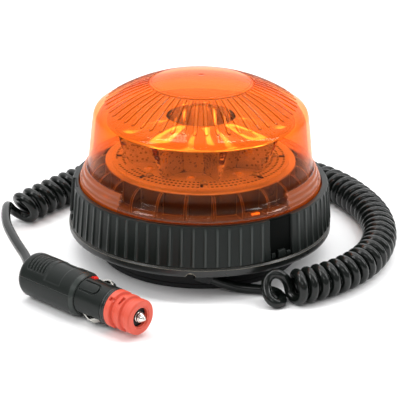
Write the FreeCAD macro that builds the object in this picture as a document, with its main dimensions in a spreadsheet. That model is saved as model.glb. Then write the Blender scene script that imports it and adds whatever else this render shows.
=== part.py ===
# LED warning beacon with a magnetic foot, a bayonet locking ring, an amber lens,
# a coiled cable and a lighter plug with a pull-off adapter. Millimetres, +Z up,
# the origin is the middle of the foot on the floor, the beacon's front is -Y.
import FreeCAD, Part
import math
import os
import re
import Sketcher

os.makedirs("parts", exist_ok=True)
doc = FreeCAD.newDocument("beacon")

# ---------------------------------------------------------------- sizes
sheet = doc.addObject("Spreadsheet::Sheet", "dims")
SIZES = [
    ("foot_radius", 60.6, "rubber cover over the magnet"),
    ("foot_top", 14.5, "upper rim of the rubber cover"),
    ("foot_wall", 1.6, "rubber wall"),
    ("foot_floor", 1.2, "rubber under the magnet"),
    ("pot_wall", 2.4, "steel cup around the magnet"),
    ("pot_top", 11.8, "top of the steel cup"),
    ("magnet_top", 9.0, "top of the ring magnet"),
    ("spigot_radius", 57.4, "base spigot inside the rubber rim"),
    ("flange_radius", 79.0, "lower flange of the base"),
    ("flange_bottom", 15.3, "underside of the flange"),
    ("flange_top", 20.9, "top of the flange"),
    ("base_wall_radius", 69.5, "outside of the base wall"),
    ("base_wall", 3.0, "thickness of the base wall"),
    ("shelf_top", 44.0, "shelf inside the lens"),
    ("turret_radius", 57.0, "inner wall that carries the light unit"),
    ("turret_top", 57.5, "top of the inner wall"),
    ("gusset_foot", 65.5, "outer end of a gusset"),
    ("gusset_thickness", 1.6, "one gusset"),
    ("gusset_count", 24, "gussets round the inner wall"),
    ("ring_bottom", 21.0, "lower edge of the locking ring"),
    ("ring_top", 45.7, "upper face of the locking ring"),
    ("ring_low_radius", 78.4, "ring wall at the bottom, without ribs"),
    ("ring_high_radius", 76.4, "ring wall at the top, without ribs"),
    ("ring_bore", 74.4, "inside of the ring wall"),
    ("ring_lip_radius", 72.9, "opening that shows the lens"),
    ("ring_rib", 0.8, "height of a grip rib"),
    ("ring_rib_width", 1.3, "width of a grip rib"),
    ("ring_rib_count", 72, "grip ribs"),
    ("recess_angle", 12, "width of a lock recess in degrees"),
    ("lug_angle", 30, "length of a bayonet lug in degrees"),
    ("lug_count", 4, "bayonet lugs"),
    ("seal_radius", 69.3, "outside of the lens seal"),
    ("seal_height", 1.2, "lens seal"),
    ("lens_height", 111.0, "top of the lens above the floor"),
    ("lens_skirt", 72.4, "lens radius where it meets the ring"),
    ("lens_flange", 74.0, "lens flange under the ring's lip"),
    ("crown_radius", 104.0, "curve of the crown"),
    ("lens_wall", 2.2, "thickness of the lens"),
    ("disc_radius", 30.5, "plain disc in the middle of the crown"),
    ("rib_step", 0.45, "height of the crown ribs"),
    ("crown_rib_width", 2.1, "one crown rib"),
    ("crown_rib_count", 54, "crown ribs"),
    ("plate_radius", 56.8, "aluminium plate under the board"),
    ("plate_thickness", 0.8, "aluminium plate"),
    ("board_radius", 53.0, "light board"),
    ("board_thickness", 1.3, "light board"),
    ("scoop_count", 8, "light sources and reflector scoops"),
    ("led_size", 5.0, "light source, square"),
    ("led_height", 1.6, "light source"),
    ("led_radius", 37.0, "circle of the light sources"),
    ("screw_circle", 44.0, "board screws"),
    ("rim_radius", 56.0, "reflector rim"),
    ("rim_top", 84.6, "reflector rim above the floor"),
    ("well_radius", 20.3, "well in the middle of the reflector"),
    ("driver_radius", 50.0, "driver board"),
    ("driver_height", 28.0, "underside of the driver board"),
    ("driver_thickness", 1.6, "driver board"),
    ("cable_radius", 2.9, "cable"),
    ("coil_radius", 10.3, "outside of the coiled cable"),
    ("plug_radius", 13.0, "plug body, and its axis above the floor"),
    ("plug_rear", -4.5, "rear face along the plug's axis"),
    ("plug_front", 40.2, "front end of the body shells"),
    ("barrel_radius", 11.0, "plug barrel"),
    ("barrel_front", 60.2, "front of the barrel"),
    ("contact_thickness", 0.6, "side contact strip"),
    ("contact_width", 4.5, "side contact strip"),
    ("nose_radius", 8.4, "nose inside the adapter"),
    ("nose_front", 79.0, "front of the nose"),
    ("adapter_rear", 63.1, "rear edge of the adapter"),
    ("adapter_front", 81.6, "front face of the adapter"),
    ("adapter_radius", 10.8, "rear flange of the adapter"),
    ("adapter_mid_radius", 10.6, "middle flange of the adapter"),
    ("adapter_nose_radius", 10.1, "front flange of the adapter"),
    ("pin_radius", 2.9, "centre pin"),
    ("fuse_radius", 3.15, "glass fuse"),
]
for row, (name, size, note) in enumerate(SIZES, start=1):
    sheet.set("A%d" % row, str(size))
    sheet.setAlias("A%d" % row, name)
    sheet.set("B%d" % row, note)
doc.recompute()
NAMES = [entry[0] for entry in SIZES]
D = {entry[0]: float(entry[1]) for entry in SIZES}
parts = []


def bind(text):
    """Put the sheet's name in front of every size named in an expression."""
    return re.sub(r"\b[a-z][a-z_]*\b(?!\()", lambda m: "dims." + m.group(0), text)


def number(text):
    if not isinstance(text, str):
        return float(text)
    return float(sheet.evalExpression(bind(text)))


def keep(item, label):
    item.Label = label
    parts.append(item)
    return item


def arc_of(start, end, radius, side):
    """Arc from start to end, its centre left (+1) or right (-1) of the chord."""
    chord = end - start
    middle = (start + end) * 0.5
    normal = FreeCAD.Vector(-chord.y, chord.x, 0).normalize() * side
    rise = math.sqrt(max(radius ** 2 - (chord.Length / 2) ** 2, 0.0))
    centre = middle + normal * rise
    first = math.atan2(start.y - centre.y, start.x - centre.x)
    last = math.atan2(end.y - centre.y, end.x - centre.x)
    if side < 0:
        first, last = last, first
    circle = Part.Circle(centre, FreeCAD.Vector(0, 0, 1), radius)
    return Part.ArcOfCircle(circle, first, last)


def profile(body, name, corners, role="XZ_Plane"):
    """Closed sketch. A corner is (x, y) or (x, y, radius, side) for a leaving arc."""
    sketch = body.newObject("Sketcher::SketchObject", name)
    plane = [o for o in body.Origin.OriginFeatures if o.Role == role][0]
    sketch.AttachmentSupport = [(plane, "")]
    sketch.MapMode = "FlatFace"
    spots = [FreeCAD.Vector(number(c[0]), number(c[1]), 0) for c in corners]
    ends = []
    for i, corner in enumerate(corners):
        start = spots[i]
        end = spots[(i + 1) % len(spots)]
        if len(corner) == 4:
            edge = arc_of(start, end, number(corner[2]), corner[3])
            ends.append((1, 2) if corner[3] > 0 else (2, 1))
        else:
            edge = Part.LineSegment(start, end)
            ends.append((1, 2))
        sketch.addGeometry(edge, False)
    for i in range(len(corners)):
        after = (i + 1) % len(corners)
        link = Sketcher.Constraint("Coincident", i, ends[i][1], after, ends[after][0])
        sketch.addConstraint(link)
    for i, corner in enumerate(corners):
        for kind, text in (("DistanceX", corner[0]), ("DistanceY", corner[1])):
            place = sketch.addConstraint(
                Sketcher.Constraint(kind, -1, 1, i, ends[i][0], number(text)))
            if isinstance(text, str):
                sketch.setExpression("Constraints[%d]" % place, bind(text))
        if len(corner) == 4:
            place = sketch.addConstraint(
                Sketcher.Constraint("Radius", i, number(corner[2])))
            if isinstance(corner[2], str):
                sketch.setExpression("Constraints[%d]" % place, bind(corner[2]))
    return sketch


def placed(at=(0, 0, 0), turn=0.0):
    spin = FreeCAD.Rotation(FreeCAD.Vector(0, 0, 1), turn)
    return FreeCAD.Placement(FreeCAD.Vector(*at), spin)


def new_body(label, placement=None):
    body = doc.addObject("PartDesign::Body", label)
    body.AllowCompound = True
    if placement is not None:
        body.Placement = placement
    return keep(body, label)


def turned(body, corners, axis="V_Axis", angle=360.0, cut=False):
    """Solid (or cut) of revolution; a part turn lies evenly about the sketch."""
    sketch = profile(body, "profile", corners)
    kind = "PartDesign::Groove" if cut else "PartDesign::Revolution"
    turn = body.newObject(kind, "turn")
    turn.Profile = sketch
    turn.ReferenceAxis = (sketch, [axis])
    if isinstance(angle, str):
        turn.setExpression("Angle", bind(angle))
        turn.Midplane = True
    elif angle != 360.0:
        turn.Angle = angle
        turn.Midplane = True
    else:
        turn.Angle = 360.0
    body.Tip = turn
    return turn


def plate(body, corners, thickness, role="XZ_Plane", cut=False):
    """Flat rib, or a slot, of one thickness, centred on the sketch plane."""
    sketch = profile(body, "outline", corners, role)
    kind = "PartDesign::Pocket" if cut else "PartDesign::Pad"
    pad = body.newObject(kind, "plate")
    pad.Profile = sketch
    pad.SideType = "Symmetric"
    if isinstance(thickness, str):
        pad.setExpression("Length", bind(thickness))
    else:
        pad.Length = thickness
    body.Tip = pad
    return pad


def around(body, feature, count, axis="V_Axis"):
    """Repeat a feature evenly about an axis of its sketch."""
    ring = body.newObject("PartDesign::PolarPattern", "ring")
    ring.Originals = [feature]
    ring.Axis = (feature.Profile[0], [axis])
    ring.Angle = 360.0
    if isinstance(count, str):
        ring.setExpression("Occurrences", bind(count))
    else:
        ring.Occurrences = count
    body.Tip = ring
    return ring


# The ring, the base and their lugs share one direction: the front lock recess.
RECESS_TURN = -52.5
SCOOP_TURN = -98.0

# ---------------------------------------------------------------- foot
boot = new_body("foot_boot")
turned(boot, [
    (0, 0), ("foot_radius - 2", 0, 2, 1), ("foot_radius", 2),
    ("foot_radius", "foot_top"), ("foot_radius - foot_wall", "foot_top"),
    ("foot_radius - foot_wall", "foot_floor"), (0, "foot_floor")])

pot = new_body("magnet_pot")
turned(pot, [
    (0, 1.4), (13, 1.4), (13, "magnet_top + 0.1"),
    ("foot_radius - foot_wall - pot_wall", "magnet_top + 0.1"),
    ("foot_radius - foot_wall - pot_wall", 1.4),
    ("foot_radius - foot_wall - 0.1", 1.4),
    ("foot_radius - foot_wall - 0.1", "pot_top"), (0, "pot_top")])

magnet = new_body("ring_magnet")
turned(magnet, [
    (14, 1.5), ("foot_radius - foot_wall - pot_wall - 1", 1.5),
    ("foot_radius - foot_wall - pot_wall - 1", "magnet_top"), (14, "magnet_top")])

# ---------------------------------------------------------------- base
base = doc.addObject("PartDesign::Body", "base_core")
base.Placement = placed(turn=RECESS_TURN)
turned(base, [
    (0, "pot_top + 0.1"), ("spigot_radius", "pot_top + 0.1"),
    ("spigot_radius", "flange_bottom"),
    ("flange_radius - 2.1", "flange_bottom", 2.1, 1),
    ("flange_radius", "flange_bottom + 2.1"),
    ("flange_radius", "flange_top - 0.9"), ("flange_radius - 0.9", "flange_top"),
    ("base_wall_radius", "flange_top"), ("base_wall_radius", "shelf_top"),
    ("turret_radius", "shelf_top"), ("turret_radius", "turret_top"),
    ("turret_radius - 2", "turret_top"), ("turret_radius - 2", "shelf_top - 3"),
    ("base_wall_radius - base_wall", "shelf_top - 3"),
    ("base_wall_radius - base_wall", "flange_top - 2.6"),
    (0, "flange_top - 2.6")])
gusset = plate(base, [
    ("turret_radius - 0.5", "shelf_top - 0.5"), ("gusset_foot", "shelf_top - 0.5"),
    ("gusset_foot", "shelf_top + 3", 11, 1), ("turret_radius + 0.6", "turret_top - 0.3"),
    ("turret_radius - 0.5", "turret_top - 0.3")], "gusset_thickness")
around(base, gusset, "gusset_count")
base_lug = turned(base, [
    ("base_wall_radius - 0.5", 26), ("base_wall_radius + 3.9", 26),
    ("base_wall_radius + 3.9", 29), ("base_wall_radius - 0.5", 29)],
    angle="lug_angle")
around(base, base_lug, "lug_count")

notch = doc.addObject("Part::Cylinder", "drain_notch")
notch.Radius = 3.0
notch.Height = 12.0
notch.Placement = FreeCAD.Placement(
    FreeCAD.Vector(-4.6, -73.0, D["flange_bottom"]),
    FreeCAD.Rotation(FreeCAD.Vector(0, 0, 1), FreeCAD.Vector(-0.063, -0.998, 0)))
housing = doc.addObject("Part::Cut", "base_housing")
housing.Base = base
housing.Tool = notch
keep(housing, "base_housing")

shelf_screws = new_body("shelf_screws", placed(turn=-7.5 + RECESS_TURN))
screw = turned(shelf_screws, [
    (61.5, "shelf_top"), (64.3, "shelf_top"), (64.3, "shelf_top + 1.2"),
    (63.3, "shelf_top + 2.2"), (61.5, "shelf_top + 2.2")], angle=5.0)
around(shelf_screws, screw, 4)

seal = new_body("lens_seal")
turned(seal, [
    ("base_wall_radius - base_wall", "shelf_top"), ("seal_radius", "shelf_top"),
    ("seal_radius", "shelf_top + seal_height"),
    ("base_wall_radius - base_wall", "shelf_top + seal_height")])

# ---------------------------------------------------------------- locking ring
ring = new_body("locking_ring", placed(turn=RECESS_TURN))
turned(ring, [
    ("ring_bore", "ring_bottom"), ("ring_low_radius - 0.4", "ring_bottom"),
    ("ring_low_radius", "ring_bottom + 0.5"), ("ring_high_radius", "ring_top - 0.6"),
    ("ring_high_radius - 0.6", "ring_top"), ("ring_lip_radius", "ring_top"),
    ("ring_lip_radius", "ring_top - 1.9"), ("ring_bore", "ring_top - 1.9")])
grip = plate(ring, [
    ("ring_low_radius - 1.5", "ring_bottom + 0.6"),
    ("ring_low_radius + ring_rib - 0.3", "ring_bottom + 0.6"),
    ("ring_low_radius + ring_rib", "ring_bottom + 1.1"),
    ("ring_high_radius + ring_rib", "ring_top - 1.4"),
    ("ring_high_radius + ring_rib - 0.7", "ring_top - 0.3"),
    ("ring_high_radius - 0.8", "ring_top - 0.3")], "ring_rib_width")
around(ring, grip, "ring_rib_count")
recess = turned(ring, [
    ("ring_low_radius - 1.7", "ring_bottom - 1"), ("ring_low_radius + 3", "ring_bottom - 1"),
    ("ring_high_radius + 3", "ring_top - 3"), ("ring_high_radius + 0.3", "ring_top - 3"),
    ("ring_high_radius - 0.9", "ring_top - 4.4")], angle="recess_angle", cut=True)
around(ring, recess, 3)
ring_lug = turned(ring, [
    ("base_wall_radius + 0.5", "ring_bottom + 1"), ("ring_bore + 0.5", "ring_bottom + 1"),
    ("ring_bore + 0.5", 25.8), ("base_wall_radius + 0.5", 25.8)], angle="lug_angle")
around(ring, ring_lug, "lug_count")

lock_screws = new_body("lock_screws", placed(turn=RECESS_TURN))
head = turned(lock_screws, [
    ("ring_low_radius - 1.7", "ring_bottom + 1.2"),
    ("ring_low_radius + 0.2", "ring_bottom + 1.2"),
    ("ring_low_radius + 0.2", "ring_bottom + 5.4"),
    ("ring_low_radius - 2.0", "ring_bottom + 5.4")], angle=3.6)
around(lock_screws, head, 3)

# ---------------------------------------------------------------- lens
CROWN_CENTRE = "lens_height - crown_radius"


def crown(radius, out):
    """Height of a sphere about the crown's centre, at a distance out from the axis."""
    return "%s + sqrt((%s)^2 - (%s)^2)" % (CROWN_CENTRE, radius, out)


lens = new_body("lens_dome")
turned(lens, [
    (0, "lens_height", "crown_radius", -1),
    ("disc_radius", crown("crown_radius", "disc_radius")),
    ("disc_radius", crown("crown_radius - rib_step", "disc_radius"),
     "crown_radius - rib_step", -1),
    (58.6, crown("crown_radius - rib_step", "58.6"), 13, -1),
    (64.6, 83.0), (65.9, 70.0), (67.2, 57.5), (69.7, 53.0), (71.4, 49.0),
    ("lens_skirt", "ring_top + 0.2"), ("lens_skirt", "ring_top - 2"),
    ("lens_flange", "ring_top - 2"), ("lens_flange", "shelf_top - 2.1"),
    ("base_wall_radius + 0.5", "shelf_top - 2.1"),
    ("base_wall_radius + 0.5", "shelf_top + seal_height"),
    ("base_wall_radius - base_wall - 0.3", "shelf_top + seal_height"),
    (66.2, 52.0), (65.0, 57.5), (63.7, 70.0), (62.5, 82.4, 10.9, 1),
    (57.6, crown("crown_radius - lens_wall", "57.6"), "crown_radius - lens_wall", 1),
    (0, "lens_height - lens_wall")])
crown_rib = plate(lens, [
    ("disc_radius + 0.3", 105.3),
    ("disc_radius + 0.3", crown("crown_radius", "disc_radius + 0.3"), "crown_radius", -1),
    (56.4, crown("crown_radius", "56.4")), (57.4, 93.1), (56.8, 92.6)],
    "crown_rib_width")
around(lens, crown_rib, "crown_rib_count")

# ---------------------------------------------------------------- light unit
mount_plate = new_body("mounting_plate")
turned(mount_plate, [
    (0, "turret_top"), ("plate_radius", "turret_top"),
    ("plate_radius", "turret_top + plate_thickness"),
    (0, "turret_top + plate_thickness")])

BOARD_TOP = "turret_top + plate_thickness + board_thickness"
board = new_body("led_board")
turned(board, [
    (0, "turret_top + plate_thickness"), ("board_radius", "turret_top + plate_thickness"),
    ("board_radius", BOARD_TOP), (0, BOARD_TOP)])

leds = new_body("led_packages", placed(turn=SCOOP_TURN))
package = plate(leds, [
    ("led_radius - led_size / 2", BOARD_TOP), ("led_radius + led_size / 2", BOARD_TOP),
    ("led_radius + led_size / 2", BOARD_TOP + " + led_height"),
    ("led_radius - led_size / 2", BOARD_TOP + " + led_height")], "led_size")
around(leds, package, "scoop_count")

resistors = new_body("led_resistors", placed(turn=SCOOP_TURN + 9.0))
chip = plate(resistors, [
    (47.0, BOARD_TOP), (50.2, BOARD_TOP), (50.2, BOARD_TOP + " + 0.6"),
    (47.0, BOARD_TOP + " + 0.6")], 1.6)
around(resistors, chip, "scoop_count")

board_screws = new_body("board_screws", placed(turn=SCOOP_TURN + 10.6))
screw = plate(board_screws, [
    ("screw_circle - 2.2", BOARD_TOP), ("screw_circle + 2.2", BOARD_TOP),
    ("screw_circle + 1.6", BOARD_TOP + " + 1.5"),
    ("screw_circle - 1.6", BOARD_TOP + " + 1.5")], 4.0)
around(board_screws, screw, "scoop_count")

reflector = new_body("reflector", placed(turn=SCOOP_TURN + 22.5))
turned(reflector, [
    (25.4, BOARD_TOP), (27.0, BOARD_TOP), (28.0, 66.0), (30.5, 72.0), (35.0, 77.0),
    (42.0, 80.8), (50.0, 82.5), ("rim_radius", 83.0), ("rim_radius", "rim_top"),
    ("well_radius", "rim_top"), ("well_radius", 70.0), ("well_radius + 1.7", 70.0),
    ("well_radius + 1.7", "rim_top - 1.8"), (32.0, "rim_top - 1.8"), (32.0, 77.5),
    (28.8, 73.0), (26.4, 66.6)])
fin = plate(reflector, [
    (26.2, BOARD_TOP), (43.0, BOARD_TOP), (46.0, 66.0), (50.0, 74.0),
    ("rim_radius - 1", "rim_top - 1.2"), (38.0, "rim_top - 1.2"), (30.0, 74.5),
    (27.2, 66.5)], 1.4)
around(reflector, fin, "scoop_count")

# ---------------------------------------------------------------- driver
driver = new_body("driver_board")
turned(driver, [
    (0, "driver_height"), ("driver_radius", "driver_height"),
    ("driver_radius", "driver_height + driver_thickness"),
    (0, "driver_height + driver_thickness")])

standoffs = new_body("driver_standoffs", placed(turn=45.0))
post = turned(standoffs, [
    (41.0, "flange_top - 2.6"), (46.0, "flange_top - 2.6"),
    (46.0, "driver_height"), (41.0, "driver_height")], angle=6.5)
around(standoffs, post, 4)

DRIVER_TOP = "driver_height + driver_thickness"
capacitors = new_body("driver_capacitors", placed(at=(22.0, 14.0, 0.0)))
can = turned(capacitors, [
    (6.0, DRIVER_TOP), (15.0, DRIVER_TOP), (15.0, DRIVER_TOP + " + 12"),
    (6.0, DRIVER_TOP + " + 12")], angle=58.0)
around(capacitors, can, 2)

inductor = new_body("driver_inductor", placed(at=(-20.0, 8.0, 0.0)))
turned(inductor, [
    (0, DRIVER_TOP), (9.0, DRIVER_TOP), (9.0, DRIVER_TOP + " + 2"),
    (6.5, DRIVER_TOP + " + 2"), (6.5, DRIVER_TOP + " + 7"), (9.0, DRIVER_TOP + " + 7"),
    (9.0, DRIVER_TOP + " + 9"), (0, DRIVER_TOP + " + 9")])

terminals = new_body("terminal_block", placed(at=(2.0, -30.0, 0.0)))
plate(terminals, [
    (-8.0, DRIVER_TOP), (8.0, DRIVER_TOP), (8.0, DRIVER_TOP + " + 9"),
    (-8.0, DRIVER_TOP + " + 9")], 8.0)

# ---------------------------------------------------------------- cable
FLOOR_CABLE = D["cable_radius"] + 0.05
COIL_LEVEL = D["coil_radius"] + 0.1
LEAD = [(5.0, -65.6, 10.2), (18.5, -64.6, 3.7), (33.5, -66.4, FLOOR_CABLE),
        (45.5, -75.5, FLOOR_CABLE + 0.3)]
COIL = [(44.5, -83.4, COIL_LEVEL), (75.0, -69.0, COIL_LEVEL),
        (101.0, -38.5, COIL_LEVEL), (111.5, 1.0, COIL_LEVEL),
        (107.0, 42.0, COIL_LEVEL), (85.5, 85.0, COIL_LEVEL),
        (47.0, 114.0, COIL_LEVEL), (0.0, 123.5, COIL_LEVEL),
        (-46.0, 110.0, COIL_LEVEL), (-82.5, 78.0, COIL_LEVEL),
        (-108.0, 39.5, COIL_LEVEL)]
TAIL = [(-109.5, 42.0, 10.6), (-121.0, 24.0, 16.5), (-117.5, -6.0, 15.3),
        (-105.0, -40.0, 13.6), (-97.6, -66.2, 13.0)]


def cord_solid(label, spots, radius):
    """Round tube along straight runs joined by tangent arcs."""
    points = [FreeCAD.Vector(*spot) for spot in spots]
    edges = []
    start = points[0]
    for i in range(1, len(points) - 1):
        back = points[i - 1] - points[i]
        ahead = points[i + 1] - points[i]
        turn = math.pi - back.getAngle(ahead)
        cut = 0.45 * min(back.Length, ahead.Length)
        bend = cut / math.tan(turn / 2)
        back.normalize()
        ahead.normalize()
        inward = (back + ahead).normalize()
        reach = math.hypot(cut, bend)
        first = points[i] + back * cut
        last = points[i] + ahead * cut
        middle = points[i] + inward * (reach - bend)
        edges.append(Part.LineSegment(start, first).toShape())
        edges.append(Part.Arc(first, middle, last).toShape())
        start = last
        print(label, "bend", i, "radius", round(bend, 1))
    edges.append(Part.LineSegment(start, points[-1]).toShape())
    path = Part.Wire(edges)
    way = points[1] - points[0]
    ring_wire = Part.Wire(Part.Circle(points[0], way, radius).toShape())
    tube = path.makePipeShell([ring_wire], True, False)
    section = math.pi * radius ** 2
    print(label, "length", round(path.Length, 1),
          "volume ratio", round(tube.Volume / (section * path.Length), 4))
    item = doc.addObject("Part::Feature", label)
    item.Shape = tube
    return keep(item, label)


cord_solid("cord_lead", LEAD, D["cable_radius"])
cord_solid("cord_coil", COIL, D["coil_radius"])
cord_solid("cord_tail", TAIL, D["cable_radius"])

# Tapered strain relief that comes down out of the flange along the first run.
exit_way = FreeCAD.Vector(*LEAD[1]) - FreeCAD.Vector(*LEAD[0])
exit_way.normalize()
gland_cone = doc.addObject("Part::Cone", "gland_cone")
gland_cone.Radius1 = 4.3
gland_cone.Radius2 = 3.5
gland_cone.Height = 22.0
gland_cone.Placement = FreeCAD.Placement(
    FreeCAD.Vector(*LEAD[0]) - exit_way * 22.0,
    FreeCAD.Rotation(FreeCAD.Vector(0, 0, 1), exit_way))
under_flange = doc.addObject("Part::Box", "under_flange")
under_flange.Length = 60.0
under_flange.Width = 30.0
under_flange.Height = 12.0
under_flange.Placement = placed(at=(-35.0, -80.0, 3.3))
gland = doc.addObject("Part::Common", "cable_gland")
gland.Base = gland_cone
gland.Tool = under_flange
keep(gland, "cable_gland")

# ---------------------------------------------------------------- plug
# The plug's own X axis runs from its rear to its tip.
PLUG_AT = FreeCAD.Vector(-92.05, -71.23, D["plug_radius"])
PLUG_HEADING = -41.92
SPLIT_ROLL = -14.0
CONTACT_ROLL = -42.0
LAMP_ROLL = -15.0


def on_plug(roll=0.0):
    heading = FreeCAD.Rotation(FreeCAD.Vector(0, 0, 1), PLUG_HEADING)
    twist = FreeCAD.Rotation(FreeCAD.Vector(1, 0, 0), roll)
    return FreeCAD.Placement(PLUG_AT, heading.multiply(twist))


SHELL = [
    ("plug_rear", 5.3), ("plug_rear", 8.6), ("plug_rear + 1.3", 11.3),
    (0, "plug_radius"), (37.8, "plug_radius"), (38.8, "plug_radius - 0.5"),
    ("plug_front", "barrel_radius + 0.3"), ("plug_front", 9.4), (36.5, 9.4),
    (36.5, 11.0), (0.5, 11.0), ("plug_rear + 2", 8.0), ("plug_rear + 2", 5.3)]
for label, roll in (("plug_upper_shell", SPLIT_ROLL), ("plug_lower_shell", SPLIT_ROLL + 180.0)):
    shell = new_body(label, on_plug(roll))
    turned(shell, SHELL, axis="H_Axis", angle=180.0)
    if label == "plug_upper_shell":
        for groove_at in (2.4, 5.2, 8.0, 10.8, 13.6):
            turned(shell, [
                (groove_at, "plug_radius - 0.6"), (groove_at + 1.3, "plug_radius - 0.6"),
                (groove_at + 1.3, "plug_radius + 0.5"), (groove_at, "plug_radius + 0.5")],
                axis="H_Axis", angle=96.0, cut=True)

grommet = new_body("plug_grommet", on_plug())
turned(grommet, [
    ("plug_rear - 5", 0), ("plug_rear - 5", 4.0), ("plug_rear + 0.1", 5.1),
    ("plug_rear + 2.1", 5.1), ("plug_rear + 2.1", 6.8), ("plug_rear + 3.7", 6.8),
    ("plug_rear + 3.7", 0)], axis="H_Axis")

barrel = new_body("plug_barrel", on_plug(CONTACT_ROLL))
turned(barrel, [
    (33.0, 6.0), (33.0, 10.8), (36.3, 10.8), (36.3, 9.2),
    ("plug_front + 0.1", 9.2), ("plug_front + 0.1", "barrel_radius"),
    ("barrel_front", "barrel_radius - 0.2"), ("barrel_front", 6.0)], axis="H_Axis")
slot = plate(barrel, [
    (41.4, 7.4), (57.6, 7.4), (57.6, 13.0), (41.4, 13.0)], "contact_width + 0.6", cut=True)
around(barrel, slot, 2, axis="H_Axis")

collar = new_body("barrel_collar", on_plug())
turned(collar, [
    ("barrel_front", 7.2), ("barrel_front", "barrel_radius - 0.1"),
    ("adapter_rear - 0.1", "barrel_radius - 0.3"), ("adapter_rear - 0.1", 7.2)],
    axis="H_Axis")

for label, roll in (("side_contact_far", CONTACT_ROLL), ("side_contact_near", CONTACT_ROLL + 180.0)):
    contact = new_body(label, on_plug(roll))
    # the rolled eye at the strip's rear end is its hinge
    plate(contact, [
        (43.15, 8.7938), (43.6, 9.1), (50.4, "12.5 - contact_thickness"),
        (51.6, "12.5 - contact_thickness"), (56.4, "9.9 - contact_thickness"),
        (56.8, 9.8), (51.9, 12.5), (50.1, 12.5), (43.5, 9.8),
        (43.15, 10.0062, 0.7, 1), (42.1, 9.4, 0.7, 1)],
        "contact_width")

nose = new_body("plug_nose", on_plug())
turned(nose, [
    (50.0, 4.4), (50.0, 5.8), ("barrel_front + 0.1", 5.8), ("barrel_front + 0.1", 7.0),
    ("adapter_rear", 7.0), ("adapter_rear", "nose_radius"), ("nose_front", "nose_radius"),
    ("nose_front", 3.2), ("nose_front - 1.5", 3.2), ("nose_front - 1.5", 4.4)],
    axis="H_Axis")

adapter = new_body("adapter", on_plug())
turned(adapter, [
    ("adapter_rear", "nose_radius + 0.15"), ("adapter_rear", "adapter_radius"),
    (66.8, "adapter_radius"), (67.4, 10.1), (69.6, 10.1), (70.0, "adapter_mid_radius"),
    (74.6, "adapter_mid_radius"), (75.1, 9.3), (76.7, 9.3),
    (77.0, "adapter_nose_radius"), (81.0, "adapter_nose_radius"),
    ("adapter_front", "adapter_nose_radius - 0.6"), ("adapter_front", 4.9),
    ("nose_front + 0.2", 4.9), ("nose_front + 0.2", "nose_radius + 0.15")],
    axis="H_Axis")

pin = new_body("centre_pin", on_plug())
turned(pin, [
    (71.6, 0), (71.6, "pin_radius"), (74.6, "pin_radius"), (74.6, 4.2),
    ("nose_front - 1.6", 4.2), ("nose_front - 1.6", "pin_radius"),
    (82.2, "pin_radius"), (82.6, 1.9), (83.6, 1.7), (84.8, 0.3), (84.8, 0)],
    axis="H_Axis")

fuse = new_body("fuse", on_plug())
turned(fuse, [
    (38.0, 0), (38.0, "fuse_radius"), (43.0, "fuse_radius"), (43.0, "fuse_radius - 0.3"),
    (63.0, "fuse_radius - 0.3"), (63.0, "fuse_radius"), (68.0, "fuse_radius"),
    (68.0, 0)], axis="H_Axis")

indicator = new_body("indicator_lens", on_plug(LAMP_ROLL))
plate(indicator, [
    (41.6, "barrel_radius - 1"), (44.8, "barrel_radius - 1"),
    (44.8, "barrel_radius + 0.3"), (44.0, "barrel_radius + 1"),
    (42.4, "barrel_radius + 1"), (41.6, "barrel_radius + 0.3")], 3.0)

spring_wire = Part.makeHelix(1.3, 5.2, 3.6)
section = Part.makePolygon([
    FreeCAD.Vector(3.6 + 0.42 * math.cos(turn), 0, 0.42 * math.sin(turn))
    for turn in [math.radians(22.5 + 45 * k) for k in range(9)]])
coil_spring = spring_wire.makePipeShell([section], True, True)
spring = doc.addObject("Part::Feature", "pin_spring")
spring.Shape = coil_spring
along = FreeCAD.Placement(
    FreeCAD.Vector(68.85, 0, 0), FreeCAD.Rotation(FreeCAD.Vector(0, 1, 0), 90))
spring.Placement = on_plug().multiply(along)
keep(spring, "pin_spring")

# ---------------------------------------------------------------- check and write
doc.recompute()
faults = []
for thing in doc.Objects:
    if "Invalid" in thing.State or "Error" in thing.State:
        faults.append(thing.Label + " is in state " + ",".join(thing.State))
for item in parts:
    if item.Shape.isNull() or not item.Shape.isValid():
        faults.append(item.Label + " has no valid shape")
    elif not item.Shape.Solids:
        faults.append(item.Label + " holds no solid")
for fault in faults:
    print("FAULT", fault)
if faults:
    raise RuntimeError("the model has faults")
for old in sorted(os.listdir("parts")):
    if old.endswith(".step"):
        os.remove(os.path.join("parts", old))
for item in parts:
    item.Shape.exportStep("parts/" + item.Label + ".step")
    box = item.Shape.optimalBoundingBox()
    print(item.Label, len(item.Shape.Solids), "solids", round(item.Shape.Volume / 1000, 2),
          "cm3", [round(v, 1) for v in (box.XMin, box.YMin, box.ZMin, box.XMax, box.YMax, box.ZMax)])
print(len(parts), "parts")
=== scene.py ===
# Looks of the amber beacon: camera, studio, cord, then the pieces that stand for
# the CAD nodes. Lengths in the tables are millimetres, and MM turns them to metres.
import math
import bmesh
import bpy
from mathutils import Matrix, Vector


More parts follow.
